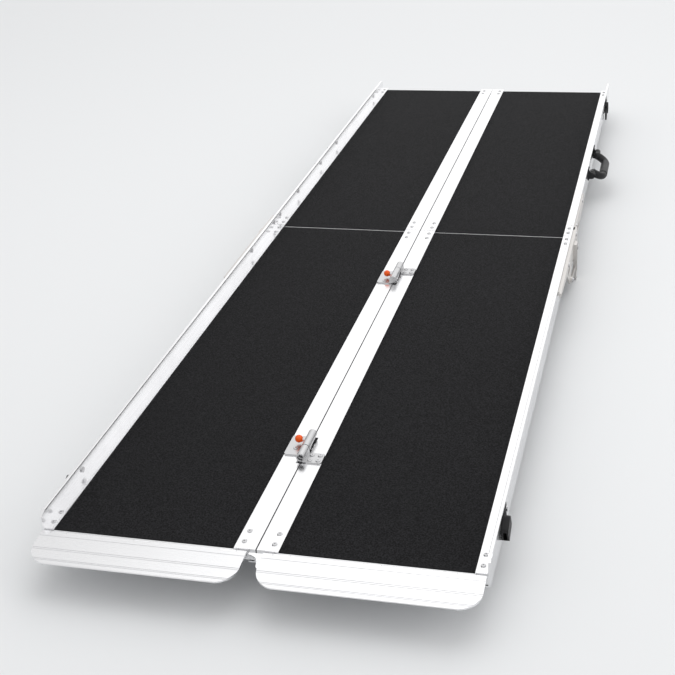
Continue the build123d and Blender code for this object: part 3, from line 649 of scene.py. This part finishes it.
class RAMP_OT_knobs(bpy.types.Operator):
    """Replace the plain knobs of the centre latches with turned, rounded ones"""

    bl_idname = "dog_ramp.knobs"
    bl_label = "Latch knobs"

    def execute(self, context):
        sizes = context.scene.ramp_pieces
        radius, neck, reach = sizes.knob_radius, sizes.knob_neck, sizes.knob_length
        tilt = sizes.stem_tilt
        profile = [(neck * 0.6, 0.0), (neck, 0.2 * MM), (neck, 1.8 * MM)]
        swell = 9
        for step in range(1, swell + 1):
            angle = math.pi * (0.12 + 0.88 * step / swell)
            middle = reach - radius
            profile.append((radius * math.sin(angle), middle - radius * math.cos(angle)))
        for name in LATCHES:
            low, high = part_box(f"latch_knob_{name}")
            centre = (low + high) / 2
            outwards = Vector((-math.cos(tilt), 0, math.sin(tilt)))
            base = centre - outwards * (reach - radius)
            upright = Vector((math.sin(tilt), 0, math.cos(tilt)))
            piece = lathe(f"knob_{name}", profile, base, outwards, upright, 28)
            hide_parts(f"latch_knob_{name}")
            hand_over(piece, f"pin_{name}", "glossy_knob", sharp=50.0)
        return {"FINISHED"}


class RAMP_OT_straps(bpy.types.Operator):
    """Replace the closing straps with folded webbing"""

    bl_idname = "dog_ramp.straps"
    bl_label = "Closing straps"

    def execute(self, context):
        for section in SECTIONS:
            for side in SIDES:
                self.webbing(context.scene.ramp_pieces, section, side)
        return {"FINISHED"}

    def webbing(self, sizes, section, side):
        """One strap: flat on the curb, then folded back over itself at the buckle's bar."""
        node = f"strap_{section}_{side}"
        low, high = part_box(node)
        slope, thick = sizes.strap_slope, sizes.strap_thickness
        spread = high - low
        twist = math.cos(slope) ** 2 - math.sin(slope) ** 2
        run = (spread.y * math.cos(slope) - spread.z * math.sin(slope)) / twist
        width = (spread.z * math.cos(slope) - spread.y * math.sin(slope)) / twist
        out = Vector((1 if side == "right" else -1, 0, 0))
        down = Vector((0, -math.cos(slope), -math.sin(slope)))
        across = Vector((0, -math.sin(slope), math.cos(slope)))
        middle = (low + high) / 2
        flat = Vector((low.x if side == "right" else high.x, middle.y, middle.z))
        first = flat - down * run / 2 + out * thick * 0.6
        layer = thick * 1.25
        flat_part = [(0.0, 0.0), (0.35, 0.0), (0.7, 0.05), (0.93, 0.1)]
        path = flat_part + [(0.99, 0.5), (0.93, 0.95), (0.8, 1.0), (0.62, 1.0)]
        points = [first + down * run * along + out * layer * lift for along, lift in path]
        piece = start_at(points[0] - across * width / 2, f"webbing_{section}_{side}")
        rows = 6
        draw([across * width * row / rows for row in range(rows + 1)])
        bpy.ops.mesh.select_all(action="SELECT")
        draw(points)
        bpy.ops.mesh.select_all(action="SELECT")
        bpy.ops.mesh.remove_doubles(threshold=0.00001)
        bpy.ops.uv.unwrap(method="ANGLE_BASED", margin=0.0)
        bpy.ops.object.mode_set(mode="OBJECT")
        self.thicken(piece, thick)
        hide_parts(node)
        hand_over(piece, body_of(node), "black_webbing", sharp=35.0)

    def thicken(self, piece, thick):
        """Give the webbing its thickness and soft edges."""
        bpy.context.view_layer.objects.active = piece
        shell = piece.modifiers.new("thickness", "SOLIDIFY")
        shell.thickness = thick
        shell.offset = 0
        edge = piece.modifiers.new("soft_edge", "BEVEL")
        edge.width = thick * 0.3
        edge.segments = 2
        edge.limit_method = "ANGLE"
        for modifier in ("thickness", "soft_edge"):
            bpy.ops.object.modifier_apply(modifier=modifier)
        bpy.ops.object.mode_set(mode="EDIT")
        bpy.ops.mesh.select_all(action="SELECT")
        bpy.ops.mesh.normals_make_consistent(inside=False)
        bpy.ops.object.mode_set(mode="OBJECT")


class RAMP_OT_stage(bpy.types.Operator):
    """Set the camera, the lights, the surroundings and the floor"""

    bl_idname = "dog_ramp.stage"
    bl_label = "Stage"

    def execute(self, context):
        stage = context.scene.ramp_stage
        self.camera(stage)
        self.lights(stage)
        self.floor()
        return {"FINISHED"}

    def camera(self, stage):
        """Camera placed from the deck's cross seam and turned by heading, pitch and roll."""
        bpy.ops.object.select_all(action="DESELECT")
        place = (stage.camera_x, SEAM_Y - stage.camera_y, DECK_TOP + stage.camera_z)
        bpy.ops.object.camera_add(location=place)
        camera = bpy.context.object
        turn_left = Matrix.Rotation(stage.heading, 4, "Z")
        tilt_down = Matrix.Rotation(math.pi / 2 - stage.pitch, 4, "X")
        lean = Matrix.Rotation(-stage.roll, 4, "Z")
        camera.rotation_euler = (turn_left @ tilt_down @ lean).to_euler()
        camera.data.lens = stage.lens
        camera.data.sensor_width = 36.0
        camera.data.clip_end = 50.0
        bpy.context.scene.camera = camera

    def lights(self, stage):
        """Broad lights overhead and beyond the top end, a side light and plain pale surroundings."""
        world = bpy.data.worlds.new("studio")
        world.use_nodes = True
        background = world.node_tree.nodes["Background"]
        background.inputs["Color"].default_value = (1, 1, 1, 1)
        background.inputs["Strength"].default_value = stage.sky
        bpy.context.scene.world = world
        bpy.context.scene.view_settings.view_transform = "Standard"
        for name, power, place, size in (
            ("overhead", stage.key, (0.3, 0.2, 3.2), 3.2),
            ("back", stage.back, (0.2, 5.2, 2.7), 6.0),
            ("side", stage.fill, (3.2, -1.4, 1.9), 1.8),
        ):
            bpy.ops.object.select_all(action="DESELECT")
            bpy.ops.object.light_add(type="AREA", location=place)
            light = bpy.context.object
            light.name = name
            light.data.energy = power
            light.data.size = size
            light.rotation_euler = (Vector((0, 0, 0)) - Vector(place)).to_track_quat("-Z", "Y").to_euler()

    def floor(self):
        """A wide plain pale floor just under the feet."""
        bpy.ops.object.select_all(action="DESELECT")
        bpy.ops.mesh.primitive_plane_add(size=40.0, location=(0, 0, cad_box[0].z - 0.0005))
        floor = bpy.context.object
        floor.name = "floor"
        material, _, shader = new_material("pale_floor")
        shader.inputs["Base Color"].default_value = (0.8, 0.81, 0.82, 1)
        shader.inputs["Roughness"].default_value = 0.8
        floor.data.materials.append(material)


OPERATORS = (
    RAMP_OT_paint,
    RAMP_OT_rivet_stems,
    RAMP_OT_bolt_hexes,
    RAMP_OT_knobs,
    RAMP_OT_straps,
    RAMP_OT_stage,
)


class RAMP_PT_sidebar(bpy.types.Panel):
    """Buttons and sizes for the dog ramp"""

    bl_idname = "RAMP_PT_sidebar"
    bl_label = "Dog ramp"
    bl_space_type = "VIEW_3D"
    bl_region_type = "UI"
    bl_category = "Dog ramp"

    def draw(self, context):
        for operator in OPERATORS:
            self.layout.operator(operator.bl_idname)
        scene = context.scene
        for group in (scene.ramp_finish, scene.ramp_pieces, scene.ramp_stage):
            for name in group.__annotations__:
                self.layout.prop(group, name)


GROUP_CLASSES = (("ramp_finish", RampFinish), ("ramp_pieces", RampPieces), ("ramp_stage", RampStage))


def register():
    for name, group in GROUP_CLASSES:
        bpy.utils.register_class(group)
        setattr(bpy.types.Scene, name, bpy.props.PointerProperty(type=group))
    for cls in (*OPERATORS, RAMP_PT_sidebar):
        bpy.utils.register_class(cls)


def unregister():
    for cls in reversed((*OPERATORS, RAMP_PT_sidebar)):
        bpy.utils.unregister_class(cls)
    for name, group in reversed(GROUP_CLASSES):
        delattr(bpy.types.Scene, name)
        bpy.utils.unregister_class(group)


def main():
    register()
    for operator in OPERATORS:
        _, action = operator.bl_idname.split(".")
        getattr(bpy.ops.dog_ramp, action)()


if __name__ == "__main__":
    main()
